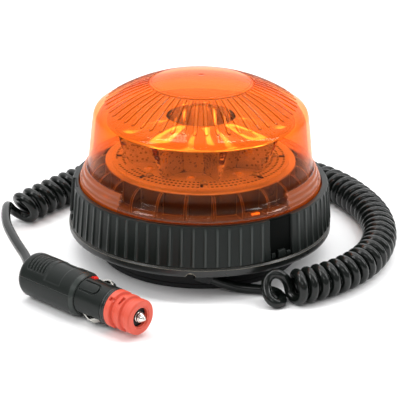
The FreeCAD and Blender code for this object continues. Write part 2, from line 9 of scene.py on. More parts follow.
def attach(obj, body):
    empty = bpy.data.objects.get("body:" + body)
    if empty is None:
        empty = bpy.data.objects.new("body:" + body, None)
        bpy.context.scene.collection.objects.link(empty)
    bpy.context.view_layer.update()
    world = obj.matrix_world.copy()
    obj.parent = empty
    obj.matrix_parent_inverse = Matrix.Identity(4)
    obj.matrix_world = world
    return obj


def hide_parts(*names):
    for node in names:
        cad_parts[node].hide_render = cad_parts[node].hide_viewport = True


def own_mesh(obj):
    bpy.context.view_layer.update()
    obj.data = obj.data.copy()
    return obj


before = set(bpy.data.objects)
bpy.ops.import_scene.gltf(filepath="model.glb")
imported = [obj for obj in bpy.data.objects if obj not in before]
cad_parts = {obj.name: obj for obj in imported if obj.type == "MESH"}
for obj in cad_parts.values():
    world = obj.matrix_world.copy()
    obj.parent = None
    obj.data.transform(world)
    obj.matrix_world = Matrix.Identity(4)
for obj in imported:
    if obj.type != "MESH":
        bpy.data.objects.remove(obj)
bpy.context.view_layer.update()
MM = 0.001
TAU = 2 * math.pi
UP = Vector((0, 0, 1))
scene = bpy.context.scene


# ---------- camera, studio
# name, place, height aimed at, size and watts of each light
LIGHTS = [("softbox_left", (-0.9, -0.5, 0.85), 0.05, (0.26, 0.7), 6.0),
          ("softbox_right", (1.0, -0.1, 0.75), 0.05, (0.20, 0.7), 5.0),
          ("softbox_top", (0.05, 0.35, 1.2), 0.05, (1.6, 1.2), 5.0),
          ("strip_left", (-0.42, 0.05, 1.25), 0.05, (0.10, 0.55), 2.6),
          ("strip_right", (0.46, 0.0, 1.25), 0.05, (0.10, 0.55), 2.6),
          ("panel_back", (0.02, 1.27, 0.98), 0.08, (0.20, 0.22), 0.75),
          ("softbox_front", (-0.1, -1.2, 0.9), 0.05, (0.7, 0.12), 2.5)]
# the sky's grey by how far a direction leans up and back
SKY = ((0.0, 0.17), (0.35, 0.36), (0.72, 1.0))
SKY_LEAN = (0.0, 0.62, 0.78)
SKY_STRENGTH = 1.35
FLOOR_RADIUS, FLOOR_SIDES = 4.0, 96


def point_camera():
    distance, aim_height = 1.1, 0.03132
    tilt, roll = math.radians(22.21), math.radians(0.62)
    data = bpy.data.cameras.new("camera")
    data.sensor_width = 36.0
    data.lens = 163.8
    data.clip_start = 0.05
    data.clip_end = 50.0
    camera = bpy.data.objects.new("camera", data)
    place = (0.0, -distance * math.cos(tilt), aim_height + distance * math.sin(tilt))
    camera.matrix_world = (Matrix.Translation(place)
                           @ Matrix.Rotation(math.radians(90) - tilt, 4, "X")
                           @ Matrix.Rotation(roll, 4, "Z"))
    scene.collection.objects.link(camera)
    scene.camera = camera


def softbox(name, place, aim_height, size, power):
    data = bpy.data.lights.new(name, "AREA")
    data.shape = "RECTANGLE"
    data.size, data.size_y = size
    data.energy = power
    lamp = bpy.data.objects.new(name, data)
    lamp.location = place
    way = UP * aim_height - Vector(place)
    lamp.rotation_euler = way.to_track_quat("-Z", "Y").to_euler()
    scene.collection.objects.link(lamp)


def studio():
    n = Nodes("studio", "World", "Generated")
    lean = n.add("ShaderNodeVectorMath", {0: n.coords, 1: SKY_LEAN}, operation="DOT_PRODUCT")
    ramp = n.add("ShaderNodeValToRGB", {"Fac": lean.outputs["Value"]})
    stops = ramp.color_ramp.elements
    stops.new(0.5)
    for stop, (place, grey) in zip(stops, SKY):
        stop.position = place
        stop.color = (grey, grey, grey * 1.01, 1)
    back = n.add("ShaderNodeBackground",
                 {"Color": ramp.outputs["Color"], "Strength": SKY_STRENGTH})
    scene.world = n.finish(back.outputs[0])
    for light in LIGHTS:
        softbox(*light)


def floor():
    mesh = bpy.data.meshes.new("floor")
    angles = [TAU * k / FLOOR_SIDES for k in range(FLOOR_SIDES)]
    rim = [(FLOOR_RADIUS * math.cos(a), FLOOR_RADIUS * math.sin(a), 0.0) for a in angles]
    mesh.from_pydata(rim, [], [list(range(FLOOR_SIDES))])
    plane = bpy.data.objects.new("floor", mesh)
    scene.collection.objects.link(plane)
    return plane


# ---------- material nodes
class Nodes:
    """Small helper that makes and links the nodes of one material, or of the world."""

    def __init__(self, name, kind="Material", coords="Object"):
        owners = bpy.data.worlds if kind == "World" else bpy.data.materials
        self.owner = owners.new(name)
        self.owner.use_nodes = True
        self.tree = self.owner.node_tree
        self.tree.nodes.clear()
        self.out = self.add("ShaderNodeOutput" + kind)
        self.coords = self.add("ShaderNodeTexCoord").outputs[coords]

    def add(self, kind, inputs=None, **settings):
        node = self.tree.nodes.new(kind)
        for key, value in settings.items():
            setattr(node, key, value)
        for key, value in (inputs or {}).items():
            self.put(node.inputs[key], value)
        return node

    def put(self, socket, value):
        if isinstance(value, bpy.types.NodeSocket):
            self.tree.links.new(value, socket)
        elif socket.type == "RGBA":
            socket.default_value = (*value, 1)
        else:
            socket.default_value = value

    def maths(self, kind, a, b=0.0, clamp=False):
        node = self.add("ShaderNodeMath", {0: a, 1: b}, operation=kind)
        node.use_clamp = clamp
        return node.outputs[0]

    def times(self, a, b):
        return self.maths("MULTIPLY", a, b)

    def plus(self, a, b):
        return self.maths("ADD", a, b)

    def minus(self, a, b):
        return self.maths("SUBTRACT", a, b)

    def below(self, a, limit):
        return self.maths("LESS_THAN", a, limit)

    def above(self, a, limit):
        return self.maths("GREATER_THAN", a, limit)

    def hypot(self, a, b):
        return self.maths("SQRT", self.plus(self.times(a, a), self.times(b, b)))

    def place(self):
        """The shaded point's x, y and z in metres."""
        return self.add("ShaderNodeSeparateXYZ", {0: self.coords}).outputs

    def tone(self, name):
        """One of the tones that add_mesh stored on a piece's points."""
        return self.add("ShaderNodeAttribute", attribute_name=name).outputs["Fac"]

    def mix(self, share, a, b):
        node = self.add("ShaderNodeMix", {0: share}, data_type="RGBA")
        self.put(node.inputs[6], a)
        self.put(node.inputs[7], b)
        return node.outputs[2]

    def noise(self, scale, detail=3.0, rough=0.5, stretch=None):
        where = self.coords
        if stretch:
            where = self.add("ShaderNodeMapping", {"Vector": where, "Scale": stretch}).outputs[0]
        node = self.add("ShaderNodeTexNoise",
                        {"Vector": where, "Scale": scale, "Detail": detail, "Roughness": rough})
        return node.outputs["Fac"]

    def bump(self, height, depth, strength=1.0, normal=None):
        node = self.add("ShaderNodeBump",
                        {"Height": height, "Distance": depth, "Strength": strength})
        if normal is not None:
            self.put(node.inputs["Normal"], normal)
        return node.outputs[0]

    def rounded(self, radius):
        return self.add("ShaderNodeBevel", {"Radius": radius}, samples=4).outputs[0]

    def edges(self, radius, level, gain):
        """1 on edges, where the rounded normal turns away from the face's own."""
        flat = self.add("ShaderNodeNewGeometry").outputs["Normal"]
        along = self.add("ShaderNodeVectorMath", {0: self.rounded(radius), 1: flat},
                         operation="DOT_PRODUCT").outputs["Value"]
        return self.maths("MULTIPLY", self.minus(level, along), gain, clamp=True)

    def shader(self, kind, **inputs):
        """A shader's output; an input's name is written with _ for a space."""
        named = {key.replace("_", " "): value for key, value in inputs.items()}
        return self.add("ShaderNodeBsdf" + kind, named).outputs[0]

    def blend(self, share, a, b):
        return self.add("ShaderNodeMixShader", {0: share, 1: a, 2: b}).outputs[0]

    def finish(self, shader):
        self.tree.links.new(shader, self.out.inputs["Surface"])
        return self.owner

    def solid(self, **inputs):
        """Finish as an opaque surface."""
        return self.finish(self.shader("Principled", **inputs))


# ---------- building blocks
def add_mesh(name, points, faces, sharp=40.0, tones=None):
    """A mesh piece from points in metres, smooth but for edges above the sharp angle.
    Tones are named values of its points that the materials read."""
    mesh = bpy.data.meshes.new(name)
    mesh.from_pydata([tuple(p) for p in points], [], faces)
    mesh.update()
    for label, values in (tones or {}).items():
        mesh.attributes.new(label, "FLOAT", "POINT").data.foreach_set("value", values)
    shape = bmesh.new()
    shape.from_mesh(mesh)
    bmesh.ops.remove_doubles(shape, verts=shape.verts, dist=1e-7)
    bmesh.ops.dissolve_degenerate(shape, dist=1e-8, edges=shape.edges)
    bmesh.ops.recalc_face_normals(shape, faces=shape.faces)
    for face in shape.faces:
        face.smooth = True
    limit = math.radians(sharp)
    for edge in shape.edges:
        edge.smooth = len(edge.link_faces) == 2 and edge.calc_face_angle(0.0) < limit
    shape.to_mesh(mesh)
    shape.free()
    piece = bpy.data.objects.new(name, mesh)
    scene.collection.objects.link(piece)
    return piece


def settle(piece, body, slot, material, *nodes):
    """Give a piece its body and material, and hide the CAD nodes it stands for; the slot,
    naming its finish, is not used.
    """
    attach(piece, body)
    if nodes:
        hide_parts(*nodes)
    piece.data.materials.clear()
    piece.data.materials.append(material)
    return piece


def rounded_outline(corners, closed=False, steps=5):
    """Outline with fillets. A corner is (a, b) or (a, b, fillet)."""
    out = []
    count = len(corners)
    for i, corner in enumerate(corners):
        here = Vector(corner[:2])
        fillet = corner[2] if len(corner) > 2 else 0.0
        if fillet <= 0 or (not closed and i in (0, count - 1)):
            out.append(here)
            continue
        before = Vector(corners[i - 1][:2]) - here
        after = Vector(corners[(i + 1) % count][:2]) - here
        reach = min(fillet, 0.48 * before.length, 0.48 * after.length)
        first = here + before.normalized() * reach
        last = here + after.normalized() * reach
        for k in range(steps + 1):
            t = k / steps
            out.append(first * (1 - t) ** 2 + here * 2 * t * (1 - t) + last * t ** 2)
    return out


def swept(outline, count, place, closed=True, turn=TAU, start=0.0):
    """Points and faces of an outline carried round; place(a, b, angle) gives a point."""
    full = abs(turn - TAU) < 1e-6
    columns = count if full else count + 1
    points = []
    for k in range(columns):
        angle = start + turn * k / count
        points += [place(p[0], p[1], angle) for p in outline]
    n = len(outline)
    faces = []
    last = n if closed else n - 1
    for k in range(count):
        a, b = k * n, ((k + 1) % columns) * n
        for i in range(last):
            j = (i + 1) % n
            faces.append((a + i, b + i, b + j, a + j))
    if not full and closed:
        faces.append(tuple(range(n)))
        faces.append(tuple(reversed(range(count * n, count * n + n))))
    return points, faces


def upright(a, b, angle):
    return (a * MM * math.cos(angle), a * MM * math.sin(angle), b * MM)


def merged(*shells):
    points, faces = [], []
    for shell_points, shell_faces in shells:
        base = len(points)
        points += list(shell_points)
        faces += [tuple(base + i for i in face) for face in shell_faces]
    return points, faces


def grid_faces(rows, width, joined=False):
    """Faces between rows of points that run right round; joined closes last to first."""
    faces = []
    for j in range(rows if joined else rows - 1):
        low, high = j * width, (j + 1) % rows * width
        for i in range(width):
            k = (i + 1) % width
            faces.append((low + i, low + k, high + k, high + i))
    return faces


# ---------- the cord
# control points of the smooth lead, of the coil's axis seen from above, and of the tail
LEAD = [(5.0, -65.6, 10.2), (18.5, -64.6, 3.7), (32.0, -65.2, 2.95), (40.0, -66.8, 2.95),
        (45.4, -70.6, 2.95), (47.4, -76.6, 2.95), (47.2, -82.2, 2.95), (43.8, -85.6, 3.1),
        (40.0, -84.2, 5.2), (38.2, -80.6, 8.6), (38.0, -77.4, 12.6), (39.8, -75.8, 16.2),
        (43.0, -76.0, 18.0), (46.6, -76.4, 17.2), (49.5, -75.2, 13.8), (51.0, -73.5, 9.6),
        (51.7, -73.6, 5.8), (52.9, -75.9, 3.6)]
COIL = [(54.3, -78.8), (75.0, -69.0), (101.0, -38.5), (111.5, 1.0), (107.0, 42.0), (85.5, 85.0),
        (47.0, 114.0), (0.0, 123.5), (-46.0, 110.0), (-82.5, 78.0), (-111.5, 33.5)]
TAIL = [(-112.8, 39.6, 3.6), (-117.6, 37.8, 7.4), (-119.2, 33.4, 12.4), (-119.6, 25.0, 16.3),
        (-119.4, 13.9, 17.0), (-117.5, -2.9, 16.5), (-112.8, -18.0, 15.5),
        (-106.0, -36.0, 14.5), (-99.8, -50.3, 13.5), (-97.6, -66.2, 13.0)]
COIL_HEIGHT = 10.5
COIL_MEAN_RADIUS = 7.4
CABLE_RADIUS = 2.9
STEPS_PER_TURN = 14
GUIDE_FINENESS, CORD_FINENESS = 12, 3


def nurbs(name, points, fineness):
    curve = bpy.data.curves.new(name, "CURVE")
    curve.dimensions = "3D"
    curve.resolution_u = fineness
    line = curve.splines.new("NURBS")
    line.points.add(len(points) - 1)
    for spot, point in zip(line.points, points):
        spot.co = (*point, 1.0)
        spot.radius = CABLE_RADIUS * MM
    line.order_u = 3
    line.use_endpoint_u = True
    line.resolution_u = fineness
    cord = bpy.data.objects.new(name, curve)
    scene.collection.objects.link(cord)
    return cord


def points_along(name, points):
    """Points read from the NURBS line that a route's control points steer."""
    guide = nurbs(name, points, GUIDE_FINENESS)
    mesh = bpy.data.meshes.new_from_object(guide)
    read = [v.co.copy() for v in mesh.vertices]
    bpy.data.objects.remove(guide)
    bpy.data.meshes.remove(mesh)
    return read


def smooth(value, low, high):
    """0 below low, 1 above high, an even rise between."""
    share = min(max((value - low) / (high - low), 0.0), 1.0)
    return share * share * (3 - 2 * share)


def coil_pitch(s, total):
    """Millimetres from turn to turn, s metres along the coil's axis: a little wider over
    the first bend and much wider at the tail, with a slight waver."""
    tight = 6.95 + 0.35 * (1 - smooth(s, 0.155, 0.205))
    loose = -0.9 * math.exp(-(s / 0.012) ** 2) + 2.8 * math.exp(-((total - s) / 0.045) ** 2)
    waver = 0.10 * math.sin(s / 0.0137) + 0.07 * math.sin(s / 0.0053)
    return tight + loose + waver


def coil_lean(s, total):
    """Millimetres by which the top of a turn leans forward along the axis."""
    return (-1.1 - 1.7 * smooth(s, 0.010, 0.040) + 2.8 * smooth(s, 0.07, 0.19)
            + 5.0 * smooth(s, total - 0.26, total - 0.05))


def helix():
    """Control points of the coiled part, left-handed, from the lead to the tail."""
    line = points_along("coil_route", [Vector((x, y, COIL_HEIGHT)) * MM for x, y in COIL])
    reach = [0.0]
    for a, b in zip(line, line[1:]):
        reach.append(reach[-1] + (b - a).length)
    total = reach[-1]
    angles, s = [(0.0, 0.0)], 0.0
    while s < total:
        s += coil_pitch(s, total) * MM / STEPS_PER_TURN
        angles.append((s, angles[-1][1] + TAU / STEPS_PER_TURN))
    count = int(angles[-1][1] / TAU + 1e-6) * STEPS_PER_TURN
    stretch = total / angles[count][0]
    # the curve runs inside its control points, which stand out by this much
    radius = COIL_MEAN_RADIUS * MM / (0.5 + 0.5 * math.cos(TAU / STEPS_PER_TURN))
    spots, i = [], 0
    for s, swing in angles[:count + 1]:
        s = min(s * stretch, total)
        while i < len(reach) - 2 and reach[i + 1] < s:
            i += 1
        share = (s - reach[i]) / (reach[i + 1] - reach[i])
        centre = line[i].lerp(line[i + 1], share)
        travel = (line[i + 1] - line[i]).normalized()
        heading = math.atan2(travel.y, travel.x)
        left = Vector((-math.sin(heading), math.cos(heading), 0))
        theta = math.pi + swing
        spots.append(centre + Vector((0, 0, math.cos(theta))) * radius
                     + left * math.sin(theta) * radius
                     + travel * math.cos(theta) * coil_lean(s, total) * MM)
    return spots


def make_cord(material):
    points = [Vector(p) * MM for p in LEAD] + helix() + [Vector(p) * MM for p in TAIL]
    cord = nurbs("cord", points, CORD_FINENESS)
    cord.data.bevel_depth = 1.0
    cord.data.bevel_resolution = 4
    cord.data.use_fill_caps = True
    settle(cord, "beacon", "cable_jacket", material, "cord_lead", "cord_coil", "cord_tail")
    return cord


# ---------- the lens
LENS_TOP = 111.0
CROWN = 104.0
RIB_RISE = 0.45
BASE_CROWN = CROWN - RIB_RISE
WALL = 2.2
RIB_HALF = 1.05
RIB_START, RIB_END = 31.0, 57.0
RIBS = 54
HALF_SECTOR = TAU / RIBS / 2
# half a clear window's width in degrees, the blend at its edge, and the turn of both
WINDOW_HALF, WINDOW_BLEND, WINDOW_TURN = 42.2, 2.0, 2.5
# shoulder of the outer face, (r, z, fillet)
SHOULDER = [(58.6, 92.6), (63.6, 89.2, 6.5), (65.0, 79.0, 4.0), (65.9, 70.0, 3.0),
            (66.9, 60.0, 1.0), (67.2, 57.4, 0.8)]
# below the shoulder the skirt steps out in bands, and in the windows by one slope
BANDS = [(67.2, 57.4), (68.2, 56.4, 0.3), (68.5, 55.0, 0.4), (69.6, 54.0, 0.4),
         (69.9, 52.0, 0.4), (71.0, 51.0, 0.4), (71.3, 48.9, 0.4), (72.1, 48.1, 0.4),
         (72.4, 46.0, 0.2)]
WINDOW = [(67.2, 57.4), (67.4, 56.2, 0.6), (67.7, 54.8, 0.6), (68.0, 53.4, 0.5),
          (69.0, 52.3, 0.5), (70.9, 50.9, 0.5), (71.3, 48.9, 0.4), (72.1, 48.1, 0.4),
          (72.4, 46.0, 0.2)]
LENS_FOOT = [(72.4, 46.0), (72.4, 43.7, 0.1), (74.0, 43.7, 0.2), (74.0, 41.9, 0.2),
             (70.0, 41.9, 0.1), (70.0, 45.2, 0.2), (66.2, 45.2, 0.3), (66.2, 52.0, 0.8),
             (65.0, 57.5, 1.5), (63.7, 70.0, 3.0), (62.4, 83.4, 5.0), (59.4, 88.6, 3.0),
             (56.0, 91.0, 2.0)]
# heights of the bands' grooves, painted with dark lines of shade, and of the brows over them,
# painted with light lines of highlight
GROOVES, BROWS, EDGE_REACH = (55.0, 52.0, 48.9), (54.0, 51.0, 48.1), 0.22


def sphere_height(radius, out):
    return LENS_TOP - CROWN + math.sqrt(radius ** 2 - out ** 2)


def window_edge(angle):
    """1 inside the two clear windows of the skirt, 0 outside, by angle from +X."""
    off = abs((math.degrees(angle) - WINDOW_TURN) % 180.0 - 90.0)
    return 1.0 - smooth(off, WINDOW_HALF, WINDOW_HALF + WINDOW_BLEND)


def lens_outside():
    """Rows of the outer face from the apex down: (r, z, rib half width or None)."""
    rows = [(r, LENS_TOP + rise, None) for r, rise in (
        (0.0, -0.35), (0.9, -0.33), (1.5, -0.10), (1.9, 0.0), (2.6, -0.03))]
    cut = {29.3: -0.16, 30.45: -0.1, 30.6: -0.33, 30.75: -0.45}
    for r in (6, 10, 14, 18, 22, 26, 28.6, 29.0, 29.3, 29.6, 30.2, 30.45, 30.6, 30.75):
        rows.append((r, sphere_height(CROWN, r) + cut.get(r, 0.0), None))
    start, end = RIB_START + RIB_HALF, RIB_END - RIB_HALF
    for k in range(7):
        swing = math.radians(90 - 15 * k)
        rows.append((start - RIB_HALF * math.sin(swing), None, RIB_HALF * math.cos(swing)))
    for k in range(1, 9):
        rows.append((start + (end - start) * k / 9, None, RIB_HALF))
    for k in range(7):
        swing = math.radians(15 * k)
        rows.append((end + RIB_HALF * math.sin(swing), None, RIB_HALF * math.cos(swing)))
    for r in (57.3, 58.0, 58.6):
        rows.append((r, sphere_height(BASE_CROWN, r), None))
    return rows


def rib_columns():
    """Columns over one rib's sector: (kind, side, distance outside the rib's edge)."""
    walls = [("wall", -1, out) for out in (0.30, 0.15, 0.02, -0.12, -0.28)]
    other = [("wall", 1, out) for _, _, out in reversed(walls)]
    return [("gap", 0, 0.0)] + walls + [("mid", 0, 0.0)] + other


def rib_spot(column, r, z, half):
    """(r, z, angle from the rib's middle, line paint) where a column crosses a row of the
    outer face. Line paint above 0 is a painted dark line of shade and below 0 a painted
    light line of highlight."""
    kind, side, outside = column
    if kind == "gap":
        offset, over = -HALF_SECTOR, -1.0
    elif kind == "mid":
        offset, over = 0.0, 1.0
    else:
        edge = max(max(RIB_HALF if half is None else half, 0.25) + outside, 0.06)
        offset, over = side * min(edge / max(r, 8.0), HALF_SECTOR * 0.9), -outside
    if z is not None:
        # painted shade: dark lines round the gate dot and along the disc's edge
        dark = r < 2.0 or 29.2 < r < 29.4 or 30.5 < r < 30.8
        return r, z, offset, 0.75 if dark else 0.0
    raised = smooth(over, -0.15, 0.12) if half > 0.26 else 0.0
    # painted shade along the ribs' rims and round their tips, painted highlight along their
    # middles
    rim = kind == "wall" and 0.0 < outside < 0.2
    tip = half < 0.5 and kind != "gap" and outside < 0.2
    line_paint = 1.0 if rim or tip else -1.0 if kind == "mid" and half > 0.5 else 0.0
    return r, sphere_height(BASE_CROWN + RIB_RISE * raised, r), offset, line_paint


def steady(column):
    """Even spacing of the same columns, for rows with no ribs."""
    kind, side, outside = column
    if kind == "gap":
        return -HALF_SECTOR
    return side * HALF_SECTOR * (0.22 + 1.1 * (outside + 0.28))


def skirt_spot(banded, clear, angle):
    """(r, z, line paint, glow) of the stepped skirt, from its band and window outlines;
    each groove gets a painted dark line of shade, each brow a painted light line of
    highlight and a little more haze.
    """
    share = window_edge(angle)
    glow = ((1 - smooth(banded.y, 55.2, 56.2)) * (1 - share)
            + 0.45 * (1 - smooth(clear.y, 50.4, 51.2)) * share)
    # painted shade on the grooves and painted highlight on the brows, outside the windows
    groove = min(abs(banded.y - z) for z in GROOVES) < EDGE_REACH
    brow = min(abs(banded.y - z) for z in BROWS) < EDGE_REACH
    line_paint = (1.0 if groove else -1.0 if brow else 0.0) * (1 - share)
    r, z = banded.lerp(clear, share)
    return r, z, line_paint, glow * (1.0 if brow else 0.88)


def lens_mesh():
    columns = rib_columns()
    rows = [[rib_spot(column, *row) for column in columns] for row in lens_outside()]

    def add_rows(spots):
        for r, z in spots:
            rows.append([(r, z, steady(column), 0.0) for column in columns])
    add_rows(rounded_outline(SHOULDER, steps=5)[1:])
    bands, window = rounded_outline(BANDS, steps=3)[1:], rounded_outline(WINDOW, steps=3)[1:]
    add_rows((pair, None) for pair in zip(bands, window))
    add_rows(rounded_outline(LENS_FOOT, steps=3)[1:])
    add_rows((r, sphere_height(CROWN - WALL, r)) for r in (48, 40, 32, 24, 16, 8, 0))
    points, line_paints, glows = [], [], []
    for row in rows:
        for k in range(RIBS):
            middle = TAU * (k + 0.5) / RIBS - math.pi / 2
            for r, z, offset, line_paint in row:
                angle = middle + offset
                if z is None:
                    r, z, line_paint, glow = skirt_spot(*r, angle)
                else:
                    glow = 0.6 if z < 47 and r > 69 else 0.0
                points.append(upright(r, z, angle))
                line_paints.append(line_paint)
                glows.append(glow)
    return points, grid_faces(len(rows), RIBS * len(columns)), line_paints, glows


def make_lens(material):
    points, faces, line_paints, glows = lens_mesh()
    lens = add_mesh("lens", points, faces, 50, {"painted_lines": line_paints, "foot_glow": glows})
    settle(lens, "beacon", "amber_lens", material, "lens_dome")


# ---------- light unit
SCOOP_TURN = math.radians(-98.0)
BOARD_Z = 59.6
LED_OUT, LED_SIDE = 37.0, 5.0
SCREW_OUT = 44.0
WELL = 20.3
FLUTES = 12
# from the reflector's rim over its fluted cone into the well, (r, z, depth of the flutes)
RIM_TO_WELL = [(56.0, 82.9), (56.0, 83.0), (55.8, 83.3), (55.2, 83.7), (54.2, 83.9, 0.2),
               (52.5, 84.1, 0.7), (49.5, 84.3, 1.1), (45.0, 84.7, 1.3), (40.0, 85.2, 1.3),
               (34.0, 85.7, 1.1), (28.0, 86.1, 0.8), (24.0, 86.3, 0.4), (21.6, 86.3, 0.1),
               (20.9, 86.2), (WELL, 85.6), (WELL, 79.0), (WELL, 73.0), (WELL - 0.2, 70.4),
               (WELL - 0.8, 70.0), (10.0, 70.0), (0.0, 70.0)]
REFLECTOR_BACK = [(0.0, 68.8), (12.0, 68.8), (25.0, 68.6), (25.4, 62.0), (25.6, 59.6),
                  (26.4, 59.6)]
# radius of a scoop's middle facet, a fin's edge and half a fin's width, by height
SCOOP_HEIGHTS = [59.6, 61.5, 63.5, 66.0, 69.0, 72.0, 74.8, 77.0, 79.0, 80.8, 81.8, 82.5, 82.8]
MIDDLE = [(59.6, 27.0), (66.0, 28.0), (72.0, 30.5), (77.0, 35.0), (80.8, 42.0), (82.5, 48.5),
          (82.8, 52.4)]
FIN_EDGE = [(59.6, 43.5), (66.0, 46.5), (74.0, 49.3), (80.8, 51.6), (82.8, 52.6)]
FIN_HALF = [(59.6, 0.5), (66.0, 1.3), (74.0, 1.9), (82.8, 2.2)]


def reading(table, at):
    """Value of a table of (place, value) at a place between two of its rows."""
    for (a, first), (b, last) in zip(table, table[1:]):
        if at <= b:
            return first + (last - first) * max(at - a, 0.0) / (b - a)
    return table[-1][1]


def scoop_section(z):
    """Half of one scoop's section from its middle to the fin's crest, in polar (r, angle)."""
    middle, edge, half = reading(MIDDLE, z), reading(FIN_EDGE, z), reading(FIN_HALF, z)
    crest = math.radians(22.5)
    near = crest - half / edge
    start = Vector((middle, min(6.2, middle * math.tan(crest) * 0.8)))
    end = Vector((edge * math.cos(near), edge * math.sin(near)))
    line = [Vector((start.x, start.y * k / 3)) for k in range(4)]
    line += [start.lerp(end, k / 5) + Vector((-0.35, 0.25)) * math.sin(math.pi * k / 5)
             for k in range(1, 6)]
    out = [(p.length, math.atan2(p.y, p.x)) for p in line]
    for k in range(1, 6):
        swing = math.radians(90 - 18 * k)
        out.append((edge + 0.22 * half * math.cos(swing) * (1 - smooth(z, 70.0, 80.0)),
                    crest - (crest - near) * math.sin(swing)))
    return out


def reflector_shell():
    rows = []
    for z in SCOOP_HEIGHTS:
        half = scoop_section(z)
        sector = [(r, -angle) for r, angle in reversed(half[1:])] + half[:-1]
        rows.append([(r, angle + TAU * k / 8, z) for k in range(8) for r, angle in sector])
    angles = [spot[1] for spot in rows[-1]]

    def level(r, z, depth=0.0):
        return [(r, angle, z - depth * (0.5 - 0.5 * math.cos(FLUTES * angle)))
                for angle in angles]
    rows += [level(*spot) for spot in RIM_TO_WELL]
    rows = [level(*spot) for spot in REFLECTOR_BACK] + rows
    points = [upright(r, z, angle + SCOOP_TURN) for row in rows for r, angle, z in row]
    return points, grid_faces(len(rows), len(angles))


def dish(outline, angle, out, count=20):
    """A small turned shape standing on the board at a polar place."""
    centre = Vector(upright(out, 0, angle))

    def place(a, b, swing):
        return centre + Vector(upright(a, b, swing))
    return swept(outline, count, place, closed=False)


def block(angle, out, long, wide, low, high, bevel):
    """A small block on the board with bevelled top edges, its length along the radius."""
    spin = Matrix.Rotation(angle, 3, "Z")
    points = []
    for z, cut in ((low, 0.0), (high - bevel, 0.0), (high, bevel)):
        for x, y in ((-1, -1), (1, -1), (1, 1), (-1, 1)):
            spot = Vector((out + x * (long / 2 - cut), y * (wide / 2 - cut), z)) * MM
            points.append(spin @ spot)
    return points, grid_faces(3, 4) + [(3, 2, 1, 0), (8, 9, 10, 11)]


def led_shells():
    dome = [(2.05, BOARD_Z + 0.85), (2.05, BOARD_Z + 0.95), (1.9, BOARD_Z + 1.2),
            (1.5, BOARD_Z + 1.42), (0.8, BOARD_Z + 1.56), (0.0, BOARD_Z + 1.6)]
    frames, domes = [], []
    for k in range(8):
        angle = SCOOP_TURN + TAU * k / 8
        frames.append(block(angle, LED_OUT, LED_SIDE, LED_SIDE, BOARD_Z, BOARD_Z + 0.9, 0.15))
        domes.append(dish(dome, angle, LED_OUT))
    return merged(*frames), merged(*domes)


def screw_shells():
    """Pan-head screws of the board: a rounded head with a sunk drive."""
    head = rounded_outline([
        (2.2, BOARD_Z), (2.2, BOARD_Z + 0.7, 0.3), (1.7, BOARD_Z + 1.4, 0.4),
        (0.9, BOARD_Z + 1.5, 0.1), (0.8, BOARD_Z + 0.7), (0.0, BOARD_Z + 0.6)], steps=3)
    first = SCOOP_TURN + math.radians(10.6)
    return merged(*(dish(head, first + TAU * k / 8, SCREW_OUT, count=24) for k in range(8)))


def make_light_unit(chrome, pale, glow, steel):
    points, faces = reflector_shell()
    settle(add_mesh("reflector_bowl", points, faces, sharp=32), "beacon", "chrome_plating",
           chrome, "reflector")
    frames, domes = led_shells()
    settle(add_mesh("led_frames", *frames), "beacon", "led_yellow", pale, "led_packages")
    settle(add_mesh("led_domes", *domes), "beacon", "led_yellow", glow, "led_packages")
    settle(add_mesh("board_screw_heads", *screw_shells()), "beacon", "steel", steel,
           "board_screws")


# ---------- locking ring
RING_TURN = math.radians(-52.5)
GRIP_RIBS = 72
RING_WALL = [(21.5, 78.4), (45.1, 76.4)]
RECESSES = 3
RECESS_HALF = math.radians(6.0)
RECESS_SEAM = math.radians(0.12)
# angle from a rib's middle in degrees, and how far up the rib's side that column is
RIB_COLUMNS = [(-2.5, 0.0), (-1.6, 0.0), (-0.78, 0.0), (-0.62, 0.22), (-0.53, 0.72),
               (-0.38, 0.95), (0.0, 1.0), (0.38, 0.95), (0.53, 0.72), (0.62, 0.22),
               (0.78, 0.0), (1.6, 0.0)]
# blocks of a recess: top, radius at foot and at top, width and place in degrees, columns,
# fillet; all stand on one height and back on the ring
LATCHES = [(26.4, (78.3, 77.9), 3.4, 0.0, 8, 0.5), (24.4, (78.0, 77.8), 2.0, 3.9, 5, 0.4),
           (25.0, (77.8, 77.6), 1.6, -4.2, 5, 0.4)]
LATCH_FOOT, LATCH_BACK = 22.2, 76.4


def ring_rows():
    """Rows of the ring's section, (r, z, rib height, recess depth), up the outer wall,
    over the top and down the bore."""
    rows = [(77.7, 21.0, 0.0, 0.7), (78.1, 21.1, 0.0, 1.1), (78.35, 21.35, 0.0, 1.5)]
    fading = {21.7: 0.0, 21.95: 0.35, 22.3: 0.7, 43.9: 0.72, 44.5: 0.5, 44.9: 0.2}
    for z in (21.7, 21.95, 22.3, 23.0, 28.0, 33.0, 38.0, 41.0, 42.2, 43.2, 43.9, 44.5, 44.9):
        depth = 1.65 - 0.4 * (z - 21.5) / 20
        rows.append((reading(RING_WALL, z), z, fading.get(z, 0.8), depth))
    inward = [(76.4, 44.9), (76.3, 45.7, 0.7), (72.9, 45.7, 0.5), (72.9, 43.8, 0.3),
              (74.4, 43.8, 0.2), (74.4, 35.0), (74.4, 28.0), (74.4, 21.0, 0.3)]
    for r, z in rounded_outline(inward, steps=4)[1:]:
        rows.append((r, z, 0.0, 1.3 if r > 75.4 else 0.0))
    return rows


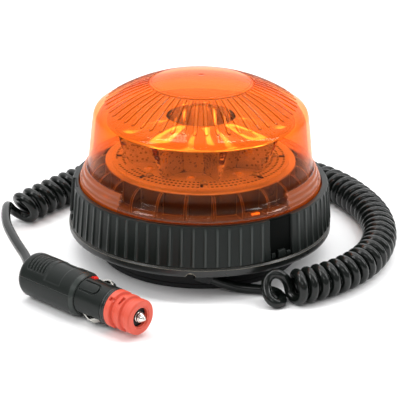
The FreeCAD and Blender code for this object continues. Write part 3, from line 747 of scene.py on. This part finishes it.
def locking_ring_shell():
    columns = [((TAU * k / GRIP_RIBS + math.radians(degrees)) % TAU, lift)
               for k in range(GRIP_RIBS) for degrees, lift in RIB_COLUMNS]
    for k in range(RECESSES):
        for side in (-1, 1):
            for step in (-RECESS_SEAM, RECESS_SEAM):
                columns.append(((TAU * k / RECESSES + side * (RECESS_HALF + step)) % TAU, 0.0))
    columns.sort()
    rows = ring_rows()
    points, crest_highlights, recess_shades = [], [], []
    for r, z, rib, depth in rows:
        for angle, lift in columns:
            off = abs((angle + TAU / 6) % (TAU / 3) - TAU / 6)
            inside = 1.0 - smooth(off, RECESS_HALF - 0.0025, RECESS_HALF + 0.0025)
            out = r + (rib * lift) * (1.0 - inside) - depth * inside
            points.append(upright(out, z, angle + RING_TURN))
            # painted highlight: the crest tone lightens and glosses the ribs' tops
            crest_highlights.append(max((lift - 0.6) / 0.4, 0.0) * rib * (1.0 - inside))
            # painted shade: this tone darkens the recesses and takes their gloss
            recess_shades.append(inside if depth > 0 else 0.0)
    return points, grid_faces(len(rows), len(columns), joined=True), crest_highlights, recess_shades


def lock_parts_shell():
    """Latch bar and two stop blocks in each recess of the ring, their edges rounded."""
    shells = []
    for k in range(RECESSES):
        for top, (low_r, top_r), width, place, steps, fillet in LATCHES:
            outline = rounded_outline([
                (LATCH_BACK, LATCH_FOOT), (low_r, LATCH_FOOT, fillet), (top_r, top, fillet),
                (LATCH_BACK, top)], closed=True, steps=3)
            turn = math.radians(width)
            middle = RING_TURN + TAU * k / RECESSES + math.radians(place)
            shells.append(swept(outline, steps, upright, turn=turn, start=middle - turn / 2))
    return merged(*shells)


def make_ring(plastic):
    points, faces, crest_highlights, recess_shades = locking_ring_shell()
    ring = add_mesh("ribbed_ring", points, faces, 75, {"crest": crest_highlights, "recess_shade": recess_shades})
    settle(ring, "lock_ring", "black_plastic", plastic, "locking_ring")
    settle(add_mesh("ring_latches", *lock_parts_shell()), "lock_ring", "black_plastic", plastic,
           "lock_screws")


# ---------- foot and gland
def make_foot(rubber):
    outline = rounded_outline([
        (0.0, 0.35), (52.0, 0.35), (53.0, 0.0, 0.4), (60.6, 0.0, 1.8), (60.6, 3.0), (60.2, 3.3),
        (60.2, 3.7), (60.6, 4.0), (60.6, 12.6), (60.2, 12.9), (60.2, 13.3), (60.6, 13.6),
        (60.6, 14.5, 0.5), (59.0, 14.5, 0.3), (59.0, 1.2), (0.0, 1.2)], steps=5)
    settle(add_mesh("rubber_foot", *swept(outline, 180, upright, closed=False), sharp=38),
           "beacon", "black_rubber", rubber, "foot_boot")
    start, end = Vector(LEAD[0]), Vector(LEAD[1])
    back = (start - end).normalized()
    side = back.cross(UP).normalized()
    over = side.cross(back)

    def place(a, b, angle):
        return (start + back * b + (side * math.cos(angle) + over * math.sin(angle)) * a) * MM
    sleeve = rounded_outline([(2.92, -2.4), (3.5, -2.4, 0.4), (3.55, 0.6), (4.1, 1.0, 0.3),
                              (4.25, 7.2), (2.92, 7.2)], closed=True, steps=3)
    settle(add_mesh("strain_relief", *swept(sleeve, 40, place), sharp=40), "beacon",
           "black_rubber", rubber, "cable_gland")


# ---------- the plug
PLUG_AT = Vector((-92.05, -71.23, 13.0))
PLUG_HEADING = math.radians(-41.92)
ALONG = Vector((math.cos(PLUG_HEADING), math.sin(PLUG_HEADING), 0))
ACROSS = Vector((-math.sin(PLUG_HEADING), math.cos(PLUG_HEADING), 0))
SPLIT_ROLL = math.radians(-14.0)
GRIP_ROLL = math.radians(98.0)
CONTACT_ROLL = math.radians(48.0)
TONGUE_ROLL = math.radians(119.0)
SLOT_ROLL = math.radians(128.0)
BARREL_R, ADAPTER_R = 11.0, 10.4
SHELL_OUTSIDE, BARREL_OUTSIDE, ADAPTER_OUTSIDE = 11.6, 10.0, 9.8
PLUG_REAR, PLUG_FRONT = -4.5, 40.2


def on_plug(s, r, angle):
    """Point of the plug at s along its axis; angle 0 is the far side, 90 the top."""
    return (PLUG_AT + ALONG * s + (ACROSS * math.cos(angle) + UP * math.sin(angle)) * r) * MM


def band(value, low, high, edge):
    """1 between low and high, falling to 0 over a short edge outside them."""
    return smooth(value, low - edge, low) * (1.0 - smooth(value, high, high + edge))


def turned_piece(name, outline, columns, body, slot, material, node, shape=None, start=0.0,
                 turn=TAU, closed=True):
    """Piece turned about the plug's axis; shape(s, r, angle) moves its outer points."""
    def place(s, r, angle):
        return on_plug(s, shape(s, r, angle) if shape else r, angle)
    points, faces = swept(outline, columns, place, closed=closed, start=start, turn=turn)
    return settle(add_mesh(name, points, faces, 38), body, slot, material, node)


def dense(outline, step):
    """Outline with extra points so that no run is longer than the step."""
    out = []
    for a, b in zip(outline, outline[1:] + outline[:1]):
        parts = max(1, math.ceil((b - a).length / step))
        out += [a.lerp(b, k / parts) for k in range(parts)]
    return out


def turn_gap(angle, middle):
    """Signed angle from a middle, between minus half and half a turn."""
    return (angle - middle + math.pi) % TAU - math.pi


def shell_shape(s, r, angle):
    """Six bowed grip grooves on top and a smooth sunk panel in front of them."""
    if r < SHELL_OUTSIDE:
        return r
    gap = abs(turn_gap(angle, GRIP_ROLL))
    reach = 1.0 - smooth(gap, math.radians(40), math.radians(45))
    bow = 1.5 * (gap / math.radians(45)) ** 2
    for k in range(6):
        middle = 1.6 + 2.35 * k + bow
        r -= 1.0 * reach * math.exp(-((s - middle) / 0.62) ** 4)
    panel = band(s, 17.5, 28.5, 0.8) * (1.0 - smooth(gap, math.radians(52), math.radians(56)))
    return r - 0.35 * panel


def barrel_shape(s, r, angle):
    """Openings for the two side contacts, and the tongue cut on top."""
    if r < BARREL_OUTSIDE:
        return r
    for side in (0.0, math.pi):
        gap = abs(turn_gap(angle, CONTACT_ROLL + side)) * BARREL_R
        r -= 2.4 * band(s, 41.5, 57.5, 0.25) * (1.0 - smooth(gap, 2.5, 2.75))
    gap = abs(turn_gap(angle, TONGUE_ROLL)) * BARREL_R
    run = math.hypot(gap, max(s - 51.2, 0.0))
    start = smooth(s, 41.4, 41.8)
    r -= 0.9 * band(run, 3.0, 3.7, 0.25) * start
    return r + 0.25 * (1.0 - smooth(run, 2.8, 3.0)) * start * smooth(s, 47.0, 52.0)


def adapter_shape(s, r, angle):
    """Bayonet slot on the near side: a run along the adapter with a foot to one side."""
    if r < ADAPTER_OUTSIDE:
        return r
    gap = turn_gap(angle, SLOT_ROLL) * ADAPTER_R
    run = band(abs(gap), 0.0, 0.9, 0.2) * band(s, 64.6, 72.9, 0.25)
    foot = band(s, 71.4, 72.9, 0.2) * band(gap, -3.8, 0.9, 0.2)
    return r - 1.5 * max(run, foot)


def six_sided(s, r, angle):
    """Hexagonal mouth of the nose's bore."""
    if s <= 78.9 or r >= 4:
        return r
    return r / math.cos(turn_gap(angle * 6, math.pi) / 6) * 1.02


def make_shells(plastic):
    """The grip's two halves, with a thin seam between them and a painted highlight on the
    shoulder.
    """
    rear, front = PLUG_REAR, PLUG_FRONT
    half = dense(rounded_outline([
        (rear, 5.3), (rear, 8.6, 0.8), (-3.7, 12.0, 1.2), (-1.7, 13.0, 1.3), (37.4, 13.0, 0.35),
        (39.9, 11.5, 0.3), (front, 11.3), (front, 9.4), (36.5, 9.4), (36.5, 11.0), (0.5, 11.0),
        (rear + 2, 8.0), (rear + 2, 5.3)], closed=True, steps=4), 0.36)
    seam = 0.10 / 13
    for name, node, start in (("plug_top", "plug_upper_shell", SPLIT_ROLL),
                              ("plug_bottom", "plug_lower_shell", SPLIT_ROLL + math.pi)):
        shell = turned_piece(name, half, 128, "beacon", "black_plastic", plastic, node,
                             shell_shape, start=start + seam, turn=math.pi - 2 * seam)
        places = [(v.co / MM - PLUG_AT).dot(ALONG) for v in shell.data.vertices]
        # painted highlight band on the shoulder, stored as the crest tone
        shoulder = [0.8 * band(s, 37.6, 39.7, 0.15) for s in places]
        shell.data.attributes.new("crest", "FLOAT", "POINT").data.foreach_set("value", shoulder)


def make_plug(plastic, gloss, red, nickel, rubber):
    rear, front = PLUG_REAR, PLUG_FRONT
    make_shells(plastic)
    collar = rounded_outline([
        (rear - 5, 2.95), (rear - 5, 3.9, 0.3), (rear - 3.9, 4.1, 0.1), (rear - 3.7, 3.7, 0.1),
        (rear - 3.0, 3.7, 0.1), (rear - 2.8, 4.4, 0.1), (rear - 1.9, 4.6, 0.1),
        (rear - 1.7, 4.1, 0.1), (rear - 1.0, 4.1, 0.1), (rear - 0.8, 4.9, 0.1), (rear + 0.1, 5.1),
        (rear + 2.1, 5.1), (rear + 2.1, 6.8), (rear + 3.7, 6.8), (rear + 3.7, 2.95)],
        closed=True, steps=2)
    turned_piece("plug_sleeve", collar, 48, "beacon", "black_rubber", rubber, "plug_grommet")
    barrel = rounded_outline([
        (33.0, 6.0), (33.0, 10.8), (36.3, 10.8), (36.3, 9.2), (front + 0.1, 9.2),
        (front + 0.1, 11.0, 0.2), (59.9, 10.85, 0.5), (60.2, 10.2, 0.2), (60.2, 6.0)],
        closed=True, steps=3)
    turned_piece("plug_neck", dense(barrel, 0.3), 200, "beacon", "black_plastic", plastic,
                 "plug_barrel", barrel_shape)
    ring = rounded_outline([
        (60.2, 7.2), (60.2, 10.9, 0.3), (61.3, 10.8, 0.2), (61.45, 10.4, 0.1), (61.7, 10.4, 0.1),
        (61.85, 10.75, 0.1), (63.0, 10.7, 0.25), (63.0, 7.2)], closed=True, steps=3)
    turned_piece("neck_ring", ring, 96, "beacon", "black_plastic", gloss, "barrel_collar")
    nose = rounded_outline([
        (50.0, 4.4), (50.0, 5.8), (60.3, 5.8), (60.3, 7.0), (63.1, 7.0), (63.1, 8.4), (78.6, 8.4),
        (79.0, 8.0, 0.2), (79.0, 3.2), (77.5, 3.2), (77.5, 4.4)], closed=True, steps=3)
    turned_piece("inner_nose", nose, 96, "beacon", "black_plastic", plastic, "plug_nose",
                 six_sided)
    cap = rounded_outline([
        (63.1, 8.55), (63.1, 10.8, 0.5), (66.9, 10.8, 0.5), (67.6, 8.9, 0.25), (70.2, 8.9, 0.25),
        (70.9, 10.5, 0.5), (73.8, 10.5, 0.5), (74.5, 8.8, 0.25), (77.0, 8.8, 0.25),
        (77.7, 10.1, 0.4), (81.0, 10.1, 0.5), (81.6, 9.4, 0.5), (81.6, 6.4, 0.2), (81.1, 6.2, 0.2),
        (81.1, 5.5, 0.2), (79.2, 5.5), (79.2, 8.55)], closed=True, steps=4)
    turned_piece("red_adapter", dense(cap, 0.4), 200, "adapter_body", "red_plastic", red,
                 "adapter", adapter_shape)
    pin = rounded_outline([
        (71.6, 0.0), (71.6, 2.9), (74.6, 2.9), (74.6, 4.2), (77.4, 4.2), (77.4, 2.9),
        (79.8, 2.9), (80.0, 2.5, 0.1), (80.6, 2.5, 0.1), (80.8, 2.9, 0.1), (81.5, 2.9, 0.2),
        (81.9, 2.45, 0.1), (82.3, 2.45, 0.2), (84.5, 0.75, 0.5), (84.8, 0.0)], steps=4)
    turned_piece("tip_pin", pin, 64, "pin_body", "nickel", nickel, "centre_pin", closed=False)


def make_spring(steel):
    """Coil spring behind the pin; the real spring shortens as the pin is pressed in, but
    this mesh keeps its length.
    """
    turns, ring, wire, radius = 4, 8, 0.4, 3.6
    start, length = 68.85, 5.2
    steps = turns * 24
    points = []
    for k in range(steps + 1):
        angle = TAU * turns * k / steps
        middle = start + length * k / steps
        for i in range(ring):
            swing = TAU * i / ring
            points.append(on_plug(middle + wire * math.sin(swing),
                                  radius + wire * math.cos(swing), angle))
    ends = [tuple(reversed(range(ring))), tuple(range(steps * ring, steps * ring + ring))]
    faces = grid_faces(steps + 1, ring) + ends
    spring = settle(add_mesh("tip_spring", points, faces, 60), "beacon", "steel", steel,
                    "pin_spring")
    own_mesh(spring)


# ---------- the materials
def shade(colour, share, lift=0.0):
    return tuple(c * share + lift for c in colour)


def moulded(name, colour, rough, grain=0.00004, scale=900.0, shine=0.3, edge=0.00035,
            inside=None, edge_highlight=None):
    """Moulded plastic: fine spark-erosion grain, slow changes of gloss, soft edges, a
    painted highlight where a piece's crest tone is and painted shade in its recesses.
    Inside is a lighter colour painted on what stands above 35 mm, under the lens, as
    painted light that reaches it through the lens, and the edge colour is a painted
    highlight along edges."""
    m = Nodes(name)
    slow = m.noise(18.0, 2.0)
    fine = m.noise(scale, 4.0, 0.6)
    wear = m.noise(140.0, 5.0, 0.65)
    tone = m.mix(m.times(slow, 0.9), colour, shade(colour, 1.45, 0.002))
    # painted light: what stands above 35 mm, under the lens, is painted lighter brown for the
    # light that reaches it through the lens
    if inside:
        tone = m.mix(m.above(m.place()[2], 0.035), tone, inside)
    crest, recess_shade = m.tone("crest"), m.tone("recess_shade")
    # painted highlight: lighter and glossier where the crest tone is
    tone = m.mix(m.times(crest, 0.6), tone, shade(colour, 4.5, 0.012))
    # painted shade: darker and less glossy in a piece's recesses
    tone = m.mix(recess_shade, tone, shade(colour, 0.25))
    # painted highlight: a lighter colour along edges
    if edge_highlight:
        tone = m.mix(m.edges(edge, 0.985, 4.0), tone, edge_highlight)
    roughness = m.plus(m.times(m.minus(wear, 0.5), 0.22), rough)
    gloss = m.times(m.minus(1.0, m.times(recess_shade, 0.8)), shine)
    return m.solid(Base_Color=tone, Roughness=roughness,
                   Normal=m.bump(fine, grain, 0.5, m.rounded(edge)),
                   Specular_IOR_Level=m.plus(gloss, m.times(crest, 0.25)))


def rubber_finish(name, colour, rough):
    m = Nodes(name)
    mottled = m.noise(60.0, 6.0, 0.7)
    fine = m.noise(1600.0, 3.0, 0.6)
    tone = m.mix(mottled, shade(colour, 0.7), shade(colour, 1.5))
    return m.solid(Base_Color=tone, Roughness=m.plus(m.times(mottled, 0.15), rough),
                   Specular_IOR_Level=0.35, Normal=m.bump(fine, 0.00005, 0.6))


def cable_finish():
    """Glossy jacket with the faint ripple of the conductors under it."""
    m = Nodes("cable_jacket")
    ripple = m.noise(260.0, 3.0, 0.5)
    tone = m.mix(m.noise(22.0, 2.0), (0.0030, 0.0042, 0.0036), (0.0065, 0.0084, 0.0072))
    return m.solid(Base_Color=tone, Roughness=m.plus(m.times(ripple, 0.14), 0.17),
                   Specular_IOR_Level=0.32, Normal=m.bump(ripple, 0.00008, 0.4))


def metal_finish(name, colour, rough, brush=None):
    m = Nodes(name)
    streak = m.noise(500.0, 4.0, 0.6, stretch=brush or (1, 1, 1))
    stain = m.noise(45.0, 4.0, 0.6)
    return m.solid(Base_Color=m.mix(stain, shade(colour, 0.82), colour), Metallic=1.0,
                   Roughness=m.plus(m.times(m.plus(streak, stain), 0.10), rough),
                   Normal=m.bump(streak, 0.00002, 0.4, m.rounded(0.0002)))


def amber_finish():
    """Clear amber plastic, tinted straight through and darker where it is seen edge on,
    with painted dark lines of shade and painted light lines of highlight on its ribs,
    rings and bands, a little haze, a glowing foot, a frosted disc and a bright skin."""
    m = Nodes("amber_lens")
    wall, foot = m.tone("painted_lines"), m.tone("foot_glow")
    edge_on = m.add("ShaderNodeLayerWeight", {"Blend": 0.5}).outputs["Facing"]
    x, y, _ = m.place()
    disc = m.below(m.hypot(x, y), 0.0291)

    def seen_edge_on(power, share):
        return m.times(m.maths("POWER", edge_on, power), share)
    tint = m.mix(m.noise(26.0, 3.0, 0.55), (0.975, 0.62, 0.33), (0.98, 0.67, 0.38))
    # painted shade as dark lines and painted highlight as light lines, where the lens stores them
    tint = m.mix(m.times(wall, 0.9), tint, (0.34, 0.12, 0.03))
    tint = m.mix(m.times(wall, -0.8), tint, (1.0, 0.84, 0.60))
    tint = m.mix(seen_edge_on(3.0, 0.9), tint, (0.95, 0.42, 0.15))
    through = m.shader("Transparent", Color=tint)
    haze = m.blend(0.5, m.shader("Diffuse", Color=(0.95, 0.19, 0.014)),
                   m.shader("Translucent", Color=(1.0, 0.27, 0.020)))
    cloud = m.plus(seen_edge_on(2.0, 0.15), 0.006)
    cloud = m.plus(m.plus(cloud, m.times(foot, 0.46)), m.times(disc, 0.07))
    skin = m.shader("Glossy", Color=(1, 0.97, 0.94), Roughness=m.plus(m.times(disc, 0.40), 0.05),
                    Normal=m.bump(m.noise(420.0, 3.0), 0.00003, 0.35))
    share = m.plus(m.plus(seen_edge_on(5.5, 0.50), 0.008), m.times(foot, 0.05))
    return m.finish(m.blend(share, m.blend(cloud, through, haze), skin))


def chrome_finish():
    """Vacuum metallised plastic, slightly rippled; its scoops are dimpled by bumps, with a
    painted reflection of dots as brown spots and painted shade as brown lines along
    their edges and creases."""
    m = Nodes("metallised")
    ripple = m.noise(70.0, 2.0, 0.5)
    dust = m.noise(700.0, 5.0, 0.7)
    cells = m.add("ShaderNodeTexVoronoi", {"Vector": m.coords, "Scale": 360.0}).outputs["Distance"]
    x, y, height = m.place()
    scoops = m.times(m.below(height, 0.0800), m.above(m.hypot(x, y), 0.0235))
    # painted reflection: brown dots on the scoops
    dot_reflections = m.times(m.below(cells, 0.27), scoops)
    # painted shade: brown lines along the scoops' edges and creases
    seam_shade = m.times(m.edges(0.0007, 0.992, 9.0), m.times(scoops, 0.75))
    tone = m.mix(m.noise(30.0, 3.0), (0.82, 0.81, 0.79), (0.95, 0.94, 0.92))
    tone = m.mix(seam_shade, tone, (0.16, 0.12, 0.08))
    tone = m.mix(m.times(dot_reflections, 0.6), tone, (0.22, 0.17, 0.11))
    dimples = m.times(m.maths("POWER", cells, 2.0), scoops)
    return m.solid(Base_Color=tone, Metallic=1.0, Roughness=m.plus(m.times(dust, 0.16), 0.05),
                   Normal=m.bump(dimples, 0.0003, 0.5, m.bump(ripple, 0.0003, 0.35)))


def board_finish():
    """White solder mask with rings of plated holes near its rim and fine tracks."""
    around, ring_pitch, hole_share = 112, 0.0037, 0.30
    m = Nodes("light_board")
    x, y, _ = m.place()
    out = m.hypot(x, y)
    across = m.minus(m.maths("FRACT", m.times(m.maths("ARCTAN2", y, x), around / TAU)), 0.5)
    along = m.minus(m.maths("FRACT", m.times(out, 1 / ring_pitch)), 0.5)
    hole = m.below(m.hypot(across, m.times(along, 1.4)), hole_share)
    patch = m.above(m.noise(60.0, 1.0), 0.42)
    near_rim = m.times(m.above(out, 0.0405), m.below(out, 0.0515))
    hole = m.times(m.times(hole, near_rim), patch)
    track = m.below(m.maths("ABSOLUTE", m.minus(m.noise(95.0, 0.0), 0.5)), 0.012)
    base = m.mix(m.noise(30.0), (0.74, 0.68, 0.56), (0.86, 0.80, 0.68))
    base = m.mix(m.times(track, 0.35), base, (0.35, 0.28, 0.18))
    base = m.mix(hole, base, (0.05, 0.03, 0.02))
    return m.solid(Base_Color=base, Roughness=0.38,
                   Normal=m.bump(m.minus(m.times(track, 0.4), hole), 0.0001, 0.6))


def phosphor_finish():
    m = Nodes("phosphor")
    grain = m.noise(1500.0, 3.0)
    tone = m.mix(grain, (0.95, 0.62, 0.10), (1.0, 0.80, 0.28))
    return m.solid(Base_Color=tone, Roughness=0.14, Coat_Weight=0.6,
                   Normal=m.bump(grain, 0.00002, 0.5))


def glass_finish(name, tint):
    m = Nodes(name)
    skin = m.shader("Glossy", Roughness=m.plus(m.times(m.noise(240.0, 2.0), 0.05), 0.06))
    share = m.plus(m.add("ShaderNodeFresnel", {"IOR": 1.5}).outputs[0], 0.05)
    return m.finish(m.blend(share, m.shader("Transparent", Color=tint), skin))


def paper_finish():
    m = Nodes("studio_paper")
    tone = m.mix(m.noise(3.0, 2.0), (0.95, 0.95, 0.95), (0.97, 0.97, 0.97))
    return m.solid(Base_Color=tone, Roughness=0.92, Specular_IOR_Level=0.1,
                   Normal=m.bump(m.noise(600.0, 3.0), 0.00003, 0.2))


def dress(material, *nodes):
    """Give CAD nodes that stay visible a material."""
    for node in nodes:
        for slot in bpy.data.objects[node].material_slots:
            slot.material = material


# ---------- the scene
point_camera()
studio()
floor().data.materials.append(paper_finish())
cord = make_cord(cable_finish())

# the edge colour is a painted highlight along the ribs and other edges
black = moulded("black_plastic", (0.0056, 0.0078, 0.0066), 0.34, shine=0.18,
                edge_highlight=(0.115, 0.128, 0.120))
satin_black = moulded("satin_black", (0.012, 0.014, 0.013), 0.30, shine=0.35)
# painted light on what stands under the lens, and a painted highlight along the gussets' edges
base_black = moulded("base_black", (0.0062, 0.0074, 0.0068), 0.30, edge=0.0005, shine=0.45,
                     inside=(0.040, 0.026, 0.012), edge_highlight=(0.75, 0.66, 0.50))
black_rubber = rubber_finish("black_rubber", (0.012, 0.013, 0.0135), 0.62)
coral = moulded("coral_plastic", (0.54, 0.068, 0.036), 0.42, grain=0.00003, shine=0.4,
                edge=0.0002)
steel = metal_finish("zinc_plate", (0.60, 0.61, 0.63), 0.26)
nickel = metal_finish("nickel_plate", (0.78, 0.76, 0.70), 0.12)
brass = metal_finish("brass_screws", (0.86, 0.55, 0.22), 0.20)
sheet = metal_finish("plate_aluminium", (0.80, 0.81, 0.82), 0.24, brush=(1, 14, 1))
ferrite = moulded("ferrite", (0.035, 0.035, 0.038), 0.55, grain=0.0001, scale=500.0, edge=0.0004)
chips = moulded("component_resin", (0.012, 0.012, 0.013), 0.45, edge=0.0002)
pale = moulded("led_ceramic", (0.80, 0.76, 0.66), 0.40, edge=0.0001)
board = board_finish()

make_lens(amber_finish())
make_light_unit(chrome_finish(), pale, phosphor_finish(), steel)
make_ring(black)
make_foot(black_rubber)
make_plug(black, satin_black, coral, nickel, black_rubber)
make_spring(steel)
dress(steel, "magnet_pot")
dress(ferrite, "ring_magnet")
dress(base_black, "base_housing")
dress(brass, "shelf_screws")
dress(black_rubber, "lens_seal")
dress(sheet, "mounting_plate")
dress(board, "led_board", "driver_board")
dress(chips, "led_resistors", "driver_capacitors", "driver_inductor", "terminal_block")
dress(black, "driver_standoffs")
dress(nickel, "side_contact_far", "side_contact_near")
dress(glass_finish("fuse_glass", (0.9, 0.95, 0.94)), "fuse")
dress(moulded("red_lamp", (0.55, 0.015, 0.012), 0.15, shine=0.6, edge=0.0001), "indicator_lens")

scene.view_settings.view_transform = "Standard"
scene.cycles.transparent_max_bounces = 24
